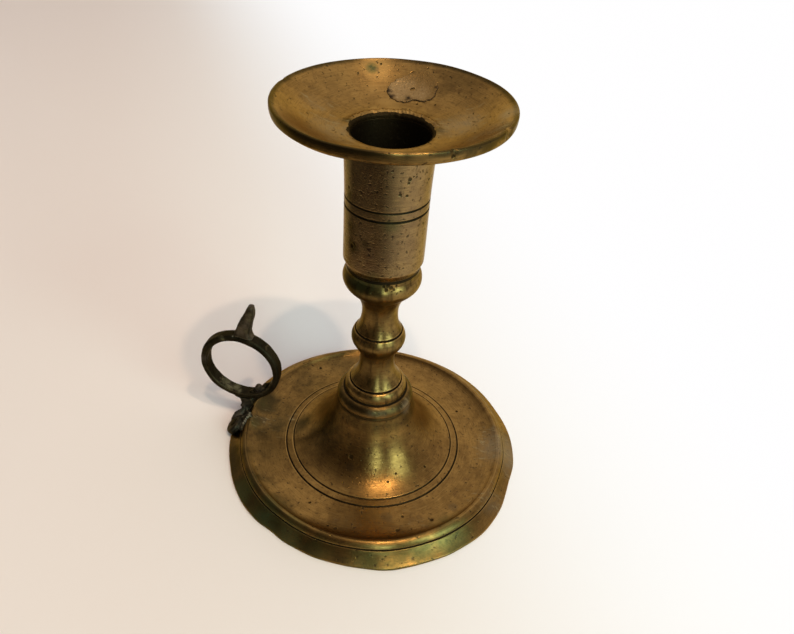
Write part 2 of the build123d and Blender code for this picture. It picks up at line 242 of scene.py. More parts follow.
# %% Read the outline of a turned CAD piece
def read_outline(node):
    """The points (radius, height) in metres, in order, and whether they close on themselves."""
    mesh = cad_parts[node].data
    spot = {}
    for vertex in mesh.vertices:
        x, y, z = vertex.co
        if abs(y) < 2e-6 and x > STICK_X:
            spot[vertex.index] = (round(x - STICK_X, 6), round(z, 6))
    links = {}
    for edge in mesh.edges:
        a, b = (spot.get(i) for i in edge.vertices)
        if a and b and a != b:
            links.setdefault(a, set()).add(b)
            links.setdefault(b, set()).add(a)
    ends = [point for point, others in links.items() if len(others) == 1]
    here = ends[0] if ends else min(links)
    chain = [here]
    left = set(links) - {here}
    while any(point in left for point in links[here]):
        here = next(point for point in sorted(links[here]) if point in left)
        chain.append(here)
        left.discard(here)
    if ends:
        chain = [(0.0, chain[0][1])] + chain + [(0.0, chain[-1][1])]
    line = np.array(chain)
    r, z = line.T
    turn = np.sum(r * np.roll(z, -1) - np.roll(r, -1) * z)
    return (line if turn > 0 else line[::-1]), not ends


# %% [markdown]
# ## Smoothing the outline
# The CAD line has few points on a curve, and its corners are perfectly sharp. A real edge that has
# been handled for many years is slightly round, and that is where the light catches. So the curves
# get more points, and each corner is eased by one to three tenths of a millimetre.

# %% Smooth and ease an outline
CORNER = radians(20)
MOST_EASED = 0.45


def turn_at(line, closed):
    """How far the line turns at each point, in radians, positive where the metal stands out."""
    before = line - np.roll(line, 1, 0)
    after = np.roll(line, -1, 0) - line
    turn = np.arctan2(
        before[:, 0] * after[:, 1] - before[:, 1] * after[:, 0], np.sum(before * after, 1)
    )
    if not closed:
        turn[[0, -1]] = pi
    return turn


def fill_run(run, step):
    """Points along a smooth curve through the points of one run between two corners."""
    gaps = np.hypot(*np.diff(run, axis=0).T)
    if len(run) == 2:
        count = max(1, ceil(gaps[0] / step))
        return [run[0] + (run[1] - run[0]) * k / count for k in range(count)]
    slope = np.gradient(run, np.concatenate(([0], np.cumsum(gaps))), axis=0, edge_order=2)
    points = []
    for a, b, sa, sb, gap in zip(run, run[1:], slope, slope[1:], gaps):
        for t in np.arange(ceil(gap / step)) / ceil(gap / step):
            h = (2 * t**3 - 3 * t**2 + 1, t**3 - 2 * t**2 + t, 3 * t**2 - 2 * t**3, t**3 - t**2)
            points.append(h[0] * a + h[1] * gap * sa + h[2] * b + h[3] * gap * sb)
    return points


def smooth_outline(line, closed, step, ease):
    """The outline with points step apart, and its corners eased."""
    if closed:
        first = int(np.argmax(np.abs(turn_at(line, True))))
        line = np.roll(line, -first, 0)
        line = np.vstack((line, line[:1]))
    corners = np.abs(turn_at(line, False)) > CORNER
    corners[[0, -1]] = True
    marks = np.flatnonzero(corners)
    points = []
    for a, b in zip(marks, marks[1:]):
        run = fill_run(line[a : b + 1], step)
        corner, leave = run[0], (run[1] if len(run) > 1 else line[b]) - run[0]
        arrive = corner - points[-1] if points else None
        if arrive is not None:
            back = min(ease, np.hypot(*arrive) * MOST_EASED)
            on = min(ease, np.hypot(*leave) * MOST_EASED)
            start = corner - arrive / np.hypot(*arrive) * back
            stop = corner + leave / np.hypot(*leave) * on
            points += [start, (start + 2 * corner + stop) / 4, stop]
            run = run[1:]
        points += run
    if not closed:
        points.append(line[-1])
    return np.array(points)


# %% [markdown]
# ## Wear and grime along the outline
# Hands and cloths keep the raised edges bright, and polish and dirt stay in the hollows. Both follow
# from the outline: close to where the line turns outwards the metal is rubbed, and where it turns
# inwards it is dirty. The shares are stored on the mesh, where the finish reads them.

# %% Measure wear and grime
SHARPEST = 1.2


def bell(away, width):
    """1 at no distance, falling to nothing over about twice the width."""
    return np.exp(-((away / width) ** 2))


def wear_and_grime(line, closed, reach):
    """For each point of the outline: its distance along it, a share of wear and a share of grime."""
    steps = np.hypot(*np.diff(line, axis=0, append=line[:1]).T)
    along = np.concatenate(([0], np.cumsum(steps)[:-1]))
    turn = turn_at(line, closed)
    if not closed:
        turn[[0, -1]] = 0
    wear, grime = np.zeros(len(line)), np.zeros(len(line))
    for i in range(len(line)):
        away = np.abs(along - along[i])
        if closed:
            away = np.minimum(away, along[-1] + steps[-1] - away)
        weight = bell(away, reach)
        wear[i] = np.sum(weight * np.clip(turn, 0, SHARPEST))
        grime[i] = np.sum(weight * np.clip(-turn, 0, SHARPEST))
    return along, np.clip(wear - grime, 0, 1), np.clip(1.3 * grime - 0.5 * wear, 0, 1)


# %% [markdown]
# ## Spinning the outline
# Blender's Screw modifier would spin the line too. Building the rings in numpy lets each point be
# moved on the way: a dent in the foot, a slow wobble in the dish, a nick in the rim.

# %% Make a mesh from a grid of rings
def make_piece(name, points, quads, finish, replaced=(), shares=None):
    """A smooth mesh object from arrays, riding on the root body."""
    mesh = bpy.data.meshes.new(name)
    mesh.vertices.add(len(points))
    mesh.vertices.foreach_set("co", np.asarray(points, np.float32).ravel())
    mesh.loops.add(4 * len(quads))
    mesh.loops.foreach_set("vertex_index", np.asarray(quads, np.int32).ravel())
    mesh.polygons.add(len(quads))
    mesh.polygons.foreach_set("loop_start", np.arange(0, 4 * len(quads), 4, dtype=np.int32))
    mesh.polygons.foreach_set("loop_total", np.full(len(quads), 4, np.int32))
    mesh.update(calc_edges=True)
    mesh.validate()
    mesh.polygons.foreach_set("use_smooth", np.ones(len(mesh.polygons), bool))
    for share_name, values in (shares or {}).items():
        layer = mesh.attributes.new(share_name, "FLOAT", "POINT")
        layer.data.foreach_set("value", np.asarray(values, np.float32))
    piece = add_object(name, mesh)
    mesh.materials.append(finish)
    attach(piece, "root")
    if replaced:
        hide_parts(*replaced)
    print(name, "has", len(points), "points and", len(quads), "faces")
    return piece


def near(points, places):
    """How near each point is to places in millimetres, each (its coordinates, reach, share)."""
    share = np.zeros(len(points))
    for *middle, reach, strength in places:
        away = np.linalg.norm(points - np.array(middle) * MM, axis=1)
        share = np.maximum(share, strength * bell(away, reach * MM))
    return share


def grid_quads(rows, around, closed):
    """Faces between rings of points. If closed, the last ring meets the first."""
    starts = np.arange(rows if closed else rows - 1)
    i, j = (grid.ravel() for grid in np.meshgrid(starts, np.arange(around), indexing="ij"))
    k, n = (i + 1) % rows, (j + 1) % around
    return np.stack((i * around + j, i * around + n, k * around + n, k * around + j), 1)


def spin(
    name, node, finish, around, step, shift, ease=0.1, reach=0.3,
    grime_at=(), clean_at=(), tarnish_and_shade_at=(), bore_black_radius=0, ragged=0, **placed_marks,
):
    """Spin a CAD piece's outline into a fine mesh, with sizes in millimetres. shift moves the
    points: it takes their angle, radius and height, and gives back the change of radius and of
    height. grime_at, clean_at and tarnish_and_shade_at are places all the way round, at (radius,
    height, reach, share); the tarnish_and_shade_at rings are painted darker, partly for tarnish and
    partly as painted shade. Inside the radius soot the metal is painted black, for candle smoke and
    for the shade deep in the hole, with an edge that wavers by ragged. stains are dark, green, pale
    or worn
    places on one side, at (x, y, z, reach, share): the dark ones are partly tarnish and partly
    painted shade, and the pale and worn ones partly pale wear and partly painted light and
    painted highlights."""
    outline, closed = read_outline(node)
    line = smooth_outline(outline, closed, step * MM, ease * MM)
    along, wear, grime = wear_and_grime(line, closed, reach * MM)
    grime *= 1 - near(line, clean_at)
    grime = np.maximum(grime, near(line, grime_at))
    # Painted shade, partly tarnish: these rings darken the metal and keep wear off it.
    dull = near(line, tarnish_and_shade_at)
    wear *= 1 - dull
    a = np.tile(np.linspace(0, 2 * pi, around, endpoint=False), len(line))
    r, z = (np.repeat(column, around) for column in line.T)
    more_r, more_z = shift(a, r, z)
    # Painted shade: inside the bore the metal is painted black, for candle smoke and for the shade
    # deep in the hole.
    blackened_bore = r < bore_black_radius * MM + waver(a, r, z, 2.4, ragged) if bore_black_radius else False
    moved = r + np.where(r > 0, more_r, 0)
    points = np.stack((STICK_X + moved * np.cos(a), moved * np.sin(a), z + more_z), 1)
    shares = {
        "along": np.repeat(along, around),
        "wear": np.repeat(wear, around),
        "grime": np.maximum(np.repeat(grime, around), blackened_bore),
    }
    for stain, places in placed_marks.items():
        shares[stain] = near(points, places)
    # Painted highlight, partly wear: these places join the wear share, which turns the metal gold,
    # and they clear the dark share.
    worn = shares.pop("worn", 0)
    shares["wear"] = np.maximum(shares["wear"], worn)
    shares["dark"] = np.maximum(shares["dark"], np.repeat(dull, around)) * (1 - worn)
    quads = grid_quads(len(line), around, closed)
    return make_piece(name, points, quads, finish, (node,), shares)


# %% [markdown]
# ## Slow unevenness
# A hand-turned, much cleaned surface is never quite true. A few long waves round and along the
# piece make the reflections waver, which is how the eye tells old brass from new.

# %% Waves and dents
rng = np.random.default_rng(7)
WAVES = 7


def waver(a, r, z, size, depth):
    """A sum of slow waves about size millimetres long and depth millimetres deep."""
    total = np.zeros_like(a)
    x, y = r * np.cos(a), r * np.sin(a)
    for _ in range(WAVES):
        heading = rng.normal(size=3)
        heading /= np.linalg.norm(heading) * size * MM * rng.uniform(0.7, 1.6) / (2 * pi)
        total += np.sin(x * heading[0] + y * heading[1] + z * heading[2] + rng.uniform(0, 6))
    return total / WAVES * depth * MM


def dents(a, places):
    """Changes of radius round a rim, from dents at (azimuth, half width, depth): degrees and mm."""
    total = np.zeros_like(a)
    for azimuth, width, depth in places:
        away = (a - radians(azimuth) + pi) % (2 * pi) - pi
        total += depth * MM * bell(away, radians(width))
    return total


def soft_step(x, low, high):
    """0 below low, 1 above high, with a soft step between."""
    t = np.clip((x - low) / (high - low), 0, 1)
    return t * t * (3 - 2 * t)


# %% [markdown]
# ## The bare brass
# Old brass isn't one colour. Clouds of gold and brown come first. Rust, flecks, the fine rings from
# the lathe and the scratches of cleaning are laid over them, each with its own mask.

# %% Mix the bare brass
RUST = (0.095, 0.045, 0.017)
FLECK = (0.065, 0.036, 0.013)
LATHE_RING = (0.07, 0.04, 0.014)
OLD_SCRATCH = (0.075, 0.042, 0.015)
BRIGHT_SCRATCH = (0.40, 0.25, 0.08)
BRASS_TINT = (0.80, 0.66, 0.45, 1)


def bare_brass(f, gold, brown):
    """The colour of the metal, and the noises that the later coats share."""
    cloud = f.noise(17, 4, warp=0.6)
    mottle = f.noise(3.2, 5, 0.6)
    fleck = f.noise(0.8, 3, 0.6)
    rust = f.noise(2.1, 3, 0.6, warp=0.4).between(0.56, 0.7)
    along = f.painted("along")
    rings = f.noise(0.22, 2, 0.7, where=f.node("ShaderNodeCombineXYZ", None, {0: along}))
    x, y, _ = f.place.axes()
    turned_place = f.node("ShaderNodeCombineXYZ", None, {0: x, 1: y, 2: along * 16})
    scratch = f.noise(4.5, 3, 0.65, where=turned_place)
    colour = f.coats(
        f.mix((cloud * 0.7 + mottle * 0.6).between(0.46, 0.88), gold, brown),
        (rust * 0.4, RUST),
        (fleck.between(0.56, 0.76) * 0.5, FLECK),
        (rings.between(0.35, 0.8) * 0.2, LATHE_RING),
        (scratch.between(0.5, 0.72) * 0.45, OLD_SCRATCH),
        (scratch.between(0.44, 0.28) * 0.35, BRIGHT_SCRATCH),
    )
    return colour, cloud, mottle, fleck, rings, scratch


# %% [markdown]
# ## What time laid on it, and painted light and shade
# Where brass is rubbed it is gold, where nobody reaches it is nearly black, and damp turns it green.
# Some of it is painted light and shade: gold and pale places stand for highlights and light, dark
# places put out glints and darken whole sides, and the bore is painted black for its shade as well
# as its smoke. The masks are the shares on the mesh, broken up by noise so that no edge of them is
# smooth.

# %% Mix the turned brass
DUST = (0.24, 0.155, 0.075)
TARNISH_AND_SHADE = (0.030, 0.024, 0.010)
RUBBED_AND_LIT = (0.42, 0.25, 0.075)
OLIVE = (0.088, 0.092, 0.028)
VERDIGRIS = (0.012, 0.034, 0.014)
DARK_RUN = (0.030, 0.020, 0.008)
PALE_WEAR_AND_LIGHT = (0.28, 0.22, 0.125)
SCORED = (0.33, 0.25, 0.11)
DIRT_AND_BORE_SHADE = (0.008, 0.006, 0.003)
STAIN = (0.10, 0.07, 0.035)
PIT = (0.012, 0.008, 0.004)
SPECK = (0.03, 0.022, 0.012)


def turned_brass(
    name, pits=(), placed_marks=(), gold=(0.30, 0.168, 0.045), brown=(0.165, 0.088, 0.024),
    dusty=0.0, dullness=0.2, streaks=0.0, specks=0.66,
):
    """pits and stains are (x, y, z, radius) in millimetres. dusty and streaks are shares,
    dullness is the roughness of the clean metal, and a lower specks gives more of them."""
    f = Finish(name)
    colour, cloud, mottle, fleck, rings, scratch = bare_brass(f, gold, brown)
    wear, grime = f.painted("wear"), f.painted("grime")
    dark, green, pale = f.painted("dark"), f.painted("green"), f.painted("pale")

    upward = f.node("ShaderNodeNewGeometry", out="Normal").axes()[2].between(0.3, 0.95)
    dust = upward * (cloud * 0.8 + mottle * 0.6 - 0.2) * (dusty - wear * dusty)
    # Painted shade, partly tarnish: the dark share darkens the metal.
    shade = (dark + (mottle - 0.5) * 0.7 * dark).between(0.12, 0.9)
    # Painted highlight, partly wear: the wear share also holds places painted gold to stand for
    # highlights.
    rubbed = (wear * (fleck * 0.6 + 0.7)).between(0.2, 0.9)
    olive = (green + (mottle - 0.5) * green).between(0.08, 0.4)
    damp = (green + (fleck - 0.5) * 0.9 * green + (mottle - 0.5) * 0.5 * green).between(0.3, 0.85)
    colour = f.coats(
        colour,
        (dust, DUST),
        (shade * 0.85, TARNISH_AND_SHADE),
        (rubbed * 0.6, RUBBED_AND_LIT),
        (olive * 0.55, OLIVE),
        (damp * 0.8, VERDIGRIS),
    )
    if streaks:
        upright = f.node("ShaderNodeMapping", None, {0: f.place, 3: (1, 1, 0.1)})
        run = f.noise(1.5, 3, 0.6, where=upright).between(0.5, 0.66)
        colour = f.mix(run * streaks, colour, DARK_RUN)

    # Painted light, partly pale wear: the pale share lightens the metal.
    pale_and_lit = (pale + (mottle - 0.5) * pale).between(0.25, 0.8)
    aslant = f.node("ShaderNodeMapping", None, {0: f.place, 2: (0, 0, 0.9), 3: (1, 4, 1)})
    scored = f.noise(3.2, 3, where=aslant).between(0.54, 0.62) * pale.between(0.1, 0.4)
    # Painted shade, partly grime: the grime share also holds the black painted inside the bore.
    dirt_and_bore_shade = (grime * (mottle * 0.5 + 0.85)).between(0.3, 0.8)
    colour = f.coats(
        colour,
        (pale_and_lit * 0.55, PALE_WEAR_AND_LIGHT),
        (scored * mottle.between(0.42, 0.62) * 0.55, SCORED),
        (dirt_and_bore_shade * 0.95, DIRT_AND_BORE_SHADE),
    )
    height = rings * 0.25 + mottle * 0.7 + fleck * 0.4 + scratch * 0.6
    rough = dullness + mottle * 0.16 + scratch * 0.06 + shade * 0.05 + damp * 0.2
    rough = rough + dirt_and_bore_shade * 0.3 + dust * 0.25
    if placed_marks:
        colour = f.mix(f.spots(placed_marks, 0.15) * 0.35, colour, STAIN)
    if pits:
        pit = f.spots(pits)
        colour = f.mix(pit * 0.8, colour, PIT)
        height = height - pit * 3.0
        rough = rough + pit * 0.3
    speck = f.noise(1.0, 1, 0.4).between(specks, specks + 0.1)
    colour = f.mix(speck * 0.7, colour, SPECK)
    metal = 1 - dirt_and_bore_shade * 0.1 - damp * 0.35 - dust * 0.45
    f.set("Specular Tint", BRASS_TINT)
    f.set("Anisotropic", 0.55)
    f.set("Anisotropic Rotation", 0.25)
    return f.close(colour, rough, metal, height - speck, 0.035)


# %% [markdown]
# ## The saucer base
# The base is one casting, turned on top and left thin below. Its foot was knocked out of round over
# the years, so the skirt bulges and dips by up to three quarters of a millimetre while the crest
# above it stays true. Old dirt half fills the groove under the cone's crown.

# %% Dress the saucer base
FOOT_DENTS = (
    (34, 7, -0.35), (-6, 7, -0.75), (-14, 5, -0.35), (-34, 14, 0.6), (-49, 4, 0.2), (-70, 8, 0.6),
    (-90, 8, -0.25), (-107, 6, -0.35), (-117, 5, -0.65), (-135, 8, 0.3), (-152, 4, -0.15),
    (95, 14, -0.3), (140, 10, 0.25),
)
CROWN_GROOVE = (11.98, 24.9)


def base_shift(a, r, z):
    outer = soft_step(r, 43.3 * MM, 48.5 * MM)
    change = dents(a, FOOT_DENTS) * outer + waver(a, r, z, 11, 0.16) * outer
    lift = waver(a, r, z, 26, 0.10) * soft_step(z, 1.5 * MM, 3 * MM)
    from_groove = np.hypot(r - CROWN_GROOVE[0] * MM, z - CROWN_GROOVE[1] * MM)
    change += 0.3 * MM * bell(from_groove, 0.45 * MM)
    return change, lift


base_brass = turned_brass(
    "base_brass",
    pits=(
        (-7.4, -32.1, 3.1, 0.55), (3.1, -39.6, 3.7, 0.75), (0.6, -39.3, 3.7, 0.6),
        (31.2, -28.9, 3.5, 0.8), (21.6, -35.4, 3.6, 0.8), (22.1, -29.7, 3.1, 0.6),
        (25.8, -10.6, 5.9, 0.6), (17.2, -17.2, 7.4, 0.45), (32.6, 20.2, 3.1, 0.6),
        (18, -6, 18.7, 0.5), (-21.4, 28.6, 3.7, 0.65), (2.1, -17.2, 11, 1.1),
        (15.3, -20.2, 6.2, 0.4),
    ),
    placed_marks=((17.4, -31.2, 3.1, 2.2), (37.0, -22.4, 3.5, 2.0), (2.4, -19.3, 8.5, 1.9)),
)
spin(
    "base_skin", "saucer_base", base_brass,
    around=360, step=0.42, shift=base_shift, ease=0.14, reach=0.2,
    # Painted shade, partly tarnish: these dark places darken the left of the cone and of the skirt
    # and the dish beside the ring's foot, and they put out the lamps' glints on the skirt's front and
    # the crest.
    dark=(
        (-8, -8, 14, 13, 0.75), (-9, 4, 12, 12, 0.65), (-38, -12, 4, 12, 0.55),
        (-39, -22, 2, 11, 1), (-30, -33, 2, 11, 1), (-19, -40, 2, 10, 0.9), (-42, 2, 2, 10, 0.6),
        (54, 10, 2, 16, 0.45), (30, 20, 16, 20, 0.25), (-4, -48.5, 1.5, 7, 0.75),
        (7, -49, 1.2, 7, 0.75), (17, -47.5, 1, 7, 0.85), (1, -14, 15.6, 7, 0.45),
        (-35, -4, 4, 5, 0.85), (-35, 5, 4, 8, 0.9), (-28, 4, 4, 10, 0.55), (-28, -3, 3.3, 8, 0.72),
        (-32, -8, 3.3, 7, 0.65), (-32.5, -15.5, 4.3, 5, 0.5), (-36, 3, 4.5, 5, 1),
        (-14, 34, 3.6, 12, 0.55), (-19.5, -2, 4.6, 6, 0.8), (-24, 20, 4, 14, 0.55),
        (-12.5, 38.5, 5, 4, 0.6), (-29, -16, 3.4, 10, 0.5),
    ),
    green=(
        (-20, -41, 2, 7, 0.6), (-11, -45, 2, 7, 0.6), (-30, -33, 2, 6, 0.45), (0, -47, 2, 6, 0.35),
        (39, -33, 2, 8, 0.5), (30, -41, 1.5, 7, 0.42), (23, -45.5, 1, 7, 0.43),
        (14, -48.5, 1, 7, 0.43), (-37, 4, 3, 4, 0.25), (-36, -6, 4, 4, 0.25),
    ),
    # Partly painted light: the two pale places on the dish's front, at (7, -38) and (25, -30),
    # brighten it.
    pale=(
        (-33, -3, 4, 7, 0.36), (-26, -9, 3.4, 5, 0.3), (-24, 1, 3.6, 4, 0.35),
        (7, -38, 3.3, 8, 0.3), (25, -30, 3.3, 8, 0.3), (6.5, -12, 27, 2.6, 0.5),
        (10.5, -11, 26.3, 2.6, 0.45), (17, -4.5, 25.5, 3, 0.8), (22, 4, 12, 9, 0.3),
        (52, 6, 2, 12, 0.75), (48, -17, 2, 8, 0.5),
    ),
    # Painted light: these gold places brighten the dish's front.
    worn=((7, -37.5, 3.3, 8, 0.5), (17, -31, 3.2, 8, 0.45)),
    grime_at=((10.1, 28.4, 0.45, 1),),
    clean_at=((12.0, 24.9, 1.2, 1), (29.7, 3.6, 0.9, 0.35), (27.2, 4.0, 0.9, 0.4)),
    # Painted shade, partly tarnish: these rings darken the crown and the cone and put out their
    # highlights.
    tarnish_and_shade_at=(
        (11.4, 27, 1.9, 0.85), (12.2, 24.4, 1, 0.9), (12.8, 22, 4, 0.6), (15.5, 15.5, 4.5, 0.38),
        (46.5, 2.5, 3, 0.38),
    ),
)

# %% [markdown]
# ## The stem
# The stem is a baluster: collar, neck, knop, waist, knop. Its two cut lines and the joints to its
# neighbours hold black dirt, and the swellings are rubbed by the thumb. The gold on the knops'
# fronts is partly a painted highlight, and the darker sides of the knops are partly painted shade.

# %% Dress the stem
def stem_shift(a, r, z):
    return waver(a, r, z, 8, 0.05), 0


stem_brass = turned_brass(
    "stem_brass",
    pits=(
        (15, -5.6, 31.2, 0.35), (8.7, -10.3, 74.4, 0.7), (9.1, -10, 75.6, 0.8),
        (9.9, -9.6, 75, 0.75), (10.7, -9.5, 74.4, 0.55), (11.2, -8.9, 75.4, 0.45),
        (8, -10.3, 75.4, 0.6), (10.2, -9.9, 73.9, 0.35), (12.4, -8.6, 73.6, 0.4),
        (5, -11.2, 73.2, 0.4),
    ),
    gold=(0.26, 0.157, 0.045),
    brown=(0.12, 0.07, 0.022),
    streaks=0.55,
)
spin(
    "stem_skin", "stem", stem_brass,
    around=240, step=0.3, shift=stem_shift,
    # Painted shade, partly tarnish: these darken the sides of the knops and the left of the upper
    # knop.
    dark=(
        (0, -9, 75, 7, 1), (-5, 4, 72, 10, 0.7), (-3, -3, 50, 5, 0.9), (13.5, -2, 51, 3.5, 0.5),
        (0, 4, 56, 8, 0.5), (0, -6, 47, 5, 0.6), (5, 0, 66, 6, 0.5),
    ),
    green=((1, -10, 75.5, 4, 0.5), (5, -11.5, 76, 4, 0.5), (5, 12, 75, 9, 0.4)),
    # Painted highlight, partly wear: gold places on the fronts of the knops.
    worn=(
        (10.8, -9.5, 75, 2.2, 0.75), (11.4, -9.4, 72.8, 2, 0.5), (8.6, -7.4, 52, 2.6, 0.5),
    ),
    pale=((-2, -7, 66, 2.2, 0.5), (13.5, -4, 66, 2.2, 0.5)),
    grime_at=(
        (10, 28.5, 0.4, 1), (10.56, 76.2, 0.4, 1), (6.3, 45.15, 0.35, 0.6), (8.1, 67.05, 0.35, 0.6),
    ),
    clean_at=((10.56, 74.7, 0.8, 1),),
    # Painted shade, partly tarnish: darker rings round the top of the upper knop and on the waist.
    tarnish_and_shade_at=((10.6, 75.4, 0.9, 0.5), (6.5, 42.0, 3.0, 0.4)),
)

# %% [markdown]
# ## The candle socket
# The socket is a plain cup with two cut lines. It is handled most, so its brown is thinner and the
# rings from the lathe show. A few casting pits and one scratch break it.

# %% Dress the socket
def socket_shift(a, r, z):
    return waver(a, r, z, 15, 0.06), 0


socket_brass = turned_brass(
    "socket_brass",
    pits=(
        (12.6, -9.4, 108.1, 0.7), (12.4, -9.5, 107.1, 0.5), (10.6, -10.5, 104.1, 0.55),
        (12.2, -9.5, 103.6, 0.5), (16.6, -3.9, 106.1, 0.5), (-3.1, -7.8, 102.7, 0.6),
        (-1.6, -9, 86.1, 0.9), (12.8, -9.3, 108.3, 0.3), (13.4, -8.8, 108.7, 0.26),
        (14, -8.2, 109.2, 0.24), (14.7, -7.5, 109.5, 0.22), (15.2, -6.8, 109.8, 0.22),
    ),
    gold=(0.295, 0.187, 0.072),
    brown=(0.195, 0.120, 0.053),
    dullness=0.13,
    specks=0.61,
)
spin(
    "socket_skin", "candle_socket", socket_brass,
    around=260, step=0.4, shift=socket_shift, ease=0.12,
    # Painted shade, partly old smears: the first two places darken the socket's left side.
    dark=(
        (-6, -4, 113, 7, 0.6), (-6, -3, 96, 8, 0.35), (-1.2, -9.4, 86.2, 2.6, 0.85),
        (2.4, -11.1, 88.6, 2, 0.7), (-2.2, -8.6, 91.5, 2.6, 0.6), (-3.1, -7.7, 100.4, 1.8, 0.7),
    ),
    green=((9, -11, 95, 3, 0.35), (5, -12, 77, 4, 0.4)),
    pale=((14, -9, 90, 7, 0.15),),
    grime_at=(
        (10.56, 76.3, 0.5, 1), (11.9, 114.6, 0.8, 1), (11.5, 95.95, 0.5, 1),
        (11.56, 98.55, 0.42, 1),
    ),
    tarnish_and_shade_at=((10.9, 77.6, 0.6, 0.5),),
    # Painted shade: the bore inside this radius is painted black, for candle smoke and for the shade
    # deep in the hole.
    bore_black_radius=10.6,
)

# %% [markdown]
# ## The drip pan
# The pan is a shallow dish with a thick edge. Candle ends and knives have chewed its mouth, and a
# ragged burr stands up behind it. Its rim has a few nicks. All three are moved points of the skin.

# %% Dress the pan
PAN_NICKS = ((-53, 1.0, -0.45), (-17, 1.6, -0.5), (-20, 1.1, -0.35), (172, 2.0, -0.25))
PAN_BULGE = ((0, 60, 0.25),)
DISH_FLOOR = 114.9 * MM


def pan_shift(a, r, z):
    rim = soft_step(r, 27.5 * MM, 30 * MM)
    back = 0.2 + 0.8 * soft_step(np.sin(a), 0.0, 0.7)
    mouth = bell(r - 10.9 * MM, 0.9 * MM) * (z > DISH_FLOOR) * back
    burr = bell(r - 12.0 * MM, 0.6 * MM) * (z > DISH_FLOOR) * back
    change = dents(a, PAN_NICKS) * rim * soft_step(z, 121.3 * MM, 122.5 * MM)
    change += waver(a, r, z, 1.6, 0.16) * mouth + dents(a, PAN_BULGE) * rim
    lift = waver(a, r, z, 18, 0.10) * soft_step(r, 11 * MM, 16 * MM)
    lift += waver(a, r, z, 1.3, 0.14) * mouth + (0.42 * MM + waver(a, r, z, 1.1, 0.4)) * burr
    return change, lift


pan_brass = turned_brass(
    "pan_brass",
    pits=(
        (5.8, 26, 121.7, 0.8), (7, 26.2, 121.7, 0.5), (8, 25.6, 121.4, 0.4), (-3.3, 26.6, 123, 0.4),
        (9, 16.5, 117, 0.4), (23.7, -24.2, 122.5, 0.6), (13.9, 16.3, 117.4, 0.35),
        (-17, 12, 119.4, 0.35), (29, 9, 120.2, 0.4),
    ),
    placed_marks=((-4.0, 24.6, 122.3, 1.0),),
    gold=(0.33, 0.185, 0.05),
    brown=(0.20, 0.108, 0.03),
    dusty=0.07,
)
spin(
    "pan_skin", "drip_pan", pan_brass,
    around=400, step=0.32, shift=pan_shift, ease=0.3,
    # Painted shade, partly tarnish: the dark places on the rim's front right put out the windows'
    # reflection there.
    dark=(
        (19.5, 9.5, 117, 4, 0.4), (17, 3, 116.2, 2.6, 0.7), (-6.2, 2, 116.2, 2.2, 0.7),
        (34, 4, 122.5, 5, 0.35), (-9, 4, 116.5, 3, 0.3), (-24, -6, 121, 6, 0.4),
        (20, 25, 122, 11, 0.42), (0, 28, 122, 8, 0.35), (30.6, -17, 123.7, 5, 0.9),
        (27, -21, 123, 4, 0.75), (34.5, -7, 123.4, 5, 0.8),
    ),
    green=((-5.4, 24.6, 122.3, 1.6, 0.8), (18, -24, 121, 3, 0.1)),
    # Painted highlight, partly wear: the gold of the rim's front, of the burr behind the mouth and
    # round the green speck at the back.
    worn=(
        (12, -28.5, 126, 3.2, 1), (16.5, -27.2, 126, 3.2, 1), (34.4, -9.1, 123.8, 1.2, 0.7),
        (-0.5, 10.5, 116.2, 2.6, 1), (3.5, 12, 116.2, 2.8, 1), (7.5, 12, 116.2, 2.2, 0.8),
        (-4, 25, 122.4, 5, 1), (-3, 19, 119, 4.5, 0.5), (2, 15.5, 117, 4.5, 0.65),
    ),
    pale=(
        (34, 3, 122.6, 5, 0.7), (30, -4, 120.5, 9, 0.55), (22, 5, 118, 9, 0.65),
        (-8, -6, 117.5, 10, 0.65), (-15, 4, 118.5, 7, 0.45), (6, -16, 117.5, 8, 0.35),
    ),
    grime_at=((29.6, 120.9, 0.4, 0.8), (13.2, 114, 1.5, 1)),
    # Painted shade, partly tarnish: darker rings on the rim's top and outer face put out its
    # reflections.
    tarnish_and_shade_at=((29.9, 123.5, 1.2, 1.0), (30.1, 121.8, 0.6, 0.5)),
    # Painted shade, partly dirt: the mouth and the bore inside this radius are painted black, for
    # candle smoke and for the shade down the hole.
    bore_black_radius=11.15,
    ragged=0.35,
)

# %% [markdown]
# ## The washer and the nut
# These sit under the crown where nobody polishes. Their CAD shapes are right, so they stay, and get
# a rough, dull finish with a little green.

# %% Finish the hidden fixings
def dull_brass(name):
    f = Finish(name)
    lumps = f.noise(2.4, 5, 0.65)
    grain = f.noise(0.5, 3, 0.6)
    colour = f.mix(lumps.between(0.35, 0.7), (0.09, 0.062, 0.028), (0.19, 0.135, 0.055))
    colour = f.mix(f.noise(1.5, 3).between(0.58, 0.75) * 0.6, colour, (0.05, 0.09, 0.05))
    return f.close(colour, 0.45 + grain * 0.25, 0.85 - lumps * 0.3, lumps + grain * 0.6, 0.06)


for node, finish_name in (("stem_washer", "washer_brass"), ("stem_nut", "nut_brass")):
    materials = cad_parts[node].data.materials
    materials.clear()
    materials.append(dull_brass(finish_name))
    print(node, "keeps its CAD shape")

# %% [markdown]
# ## The cast pieces
# The ring, its spur and its foot were cast or forged, and never turned. Their CAD shapes are copied,
# covered with an even skin of small faces by the Remesh modifier, and then moved by a lumpy noise.

